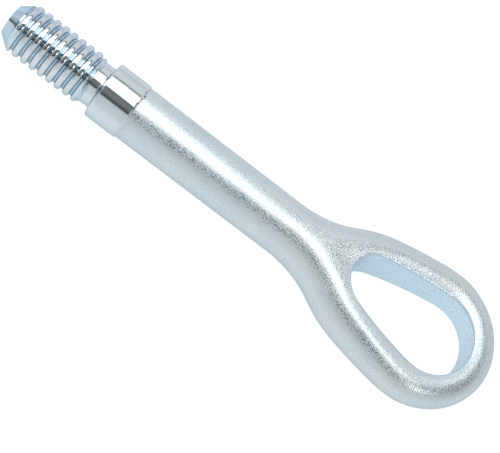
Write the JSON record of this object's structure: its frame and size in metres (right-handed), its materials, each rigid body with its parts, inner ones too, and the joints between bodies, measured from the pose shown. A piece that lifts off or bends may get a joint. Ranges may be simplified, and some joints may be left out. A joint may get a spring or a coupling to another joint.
{
  "type": "tow eye",
  "caption": "Forged steel tow eye: a long round shank with a closed teardrop eye at one end and a turned collar and coarse left-hand screw at the other.",
  "frame": {"origin": "on the thread's axis, in the plane of the shoulder where the collar meets the neck", "axes": "+X along the shank from the shoulder to the eye, so the screw points along -X; +Z along the hole of the eye; +Y completes a right-handed frame"},
  "size_m": [0.1906, 0.0498, 0.0202],
  "materials": {
    "zinc_plated_steel": "bright zinc plate with a faint blue cast, satin where forged and smooth where turned"
  },
  "bodies": {
    "root": {"tow_eye": "zinc_plated_steel"}
  },
  "joints": []
}
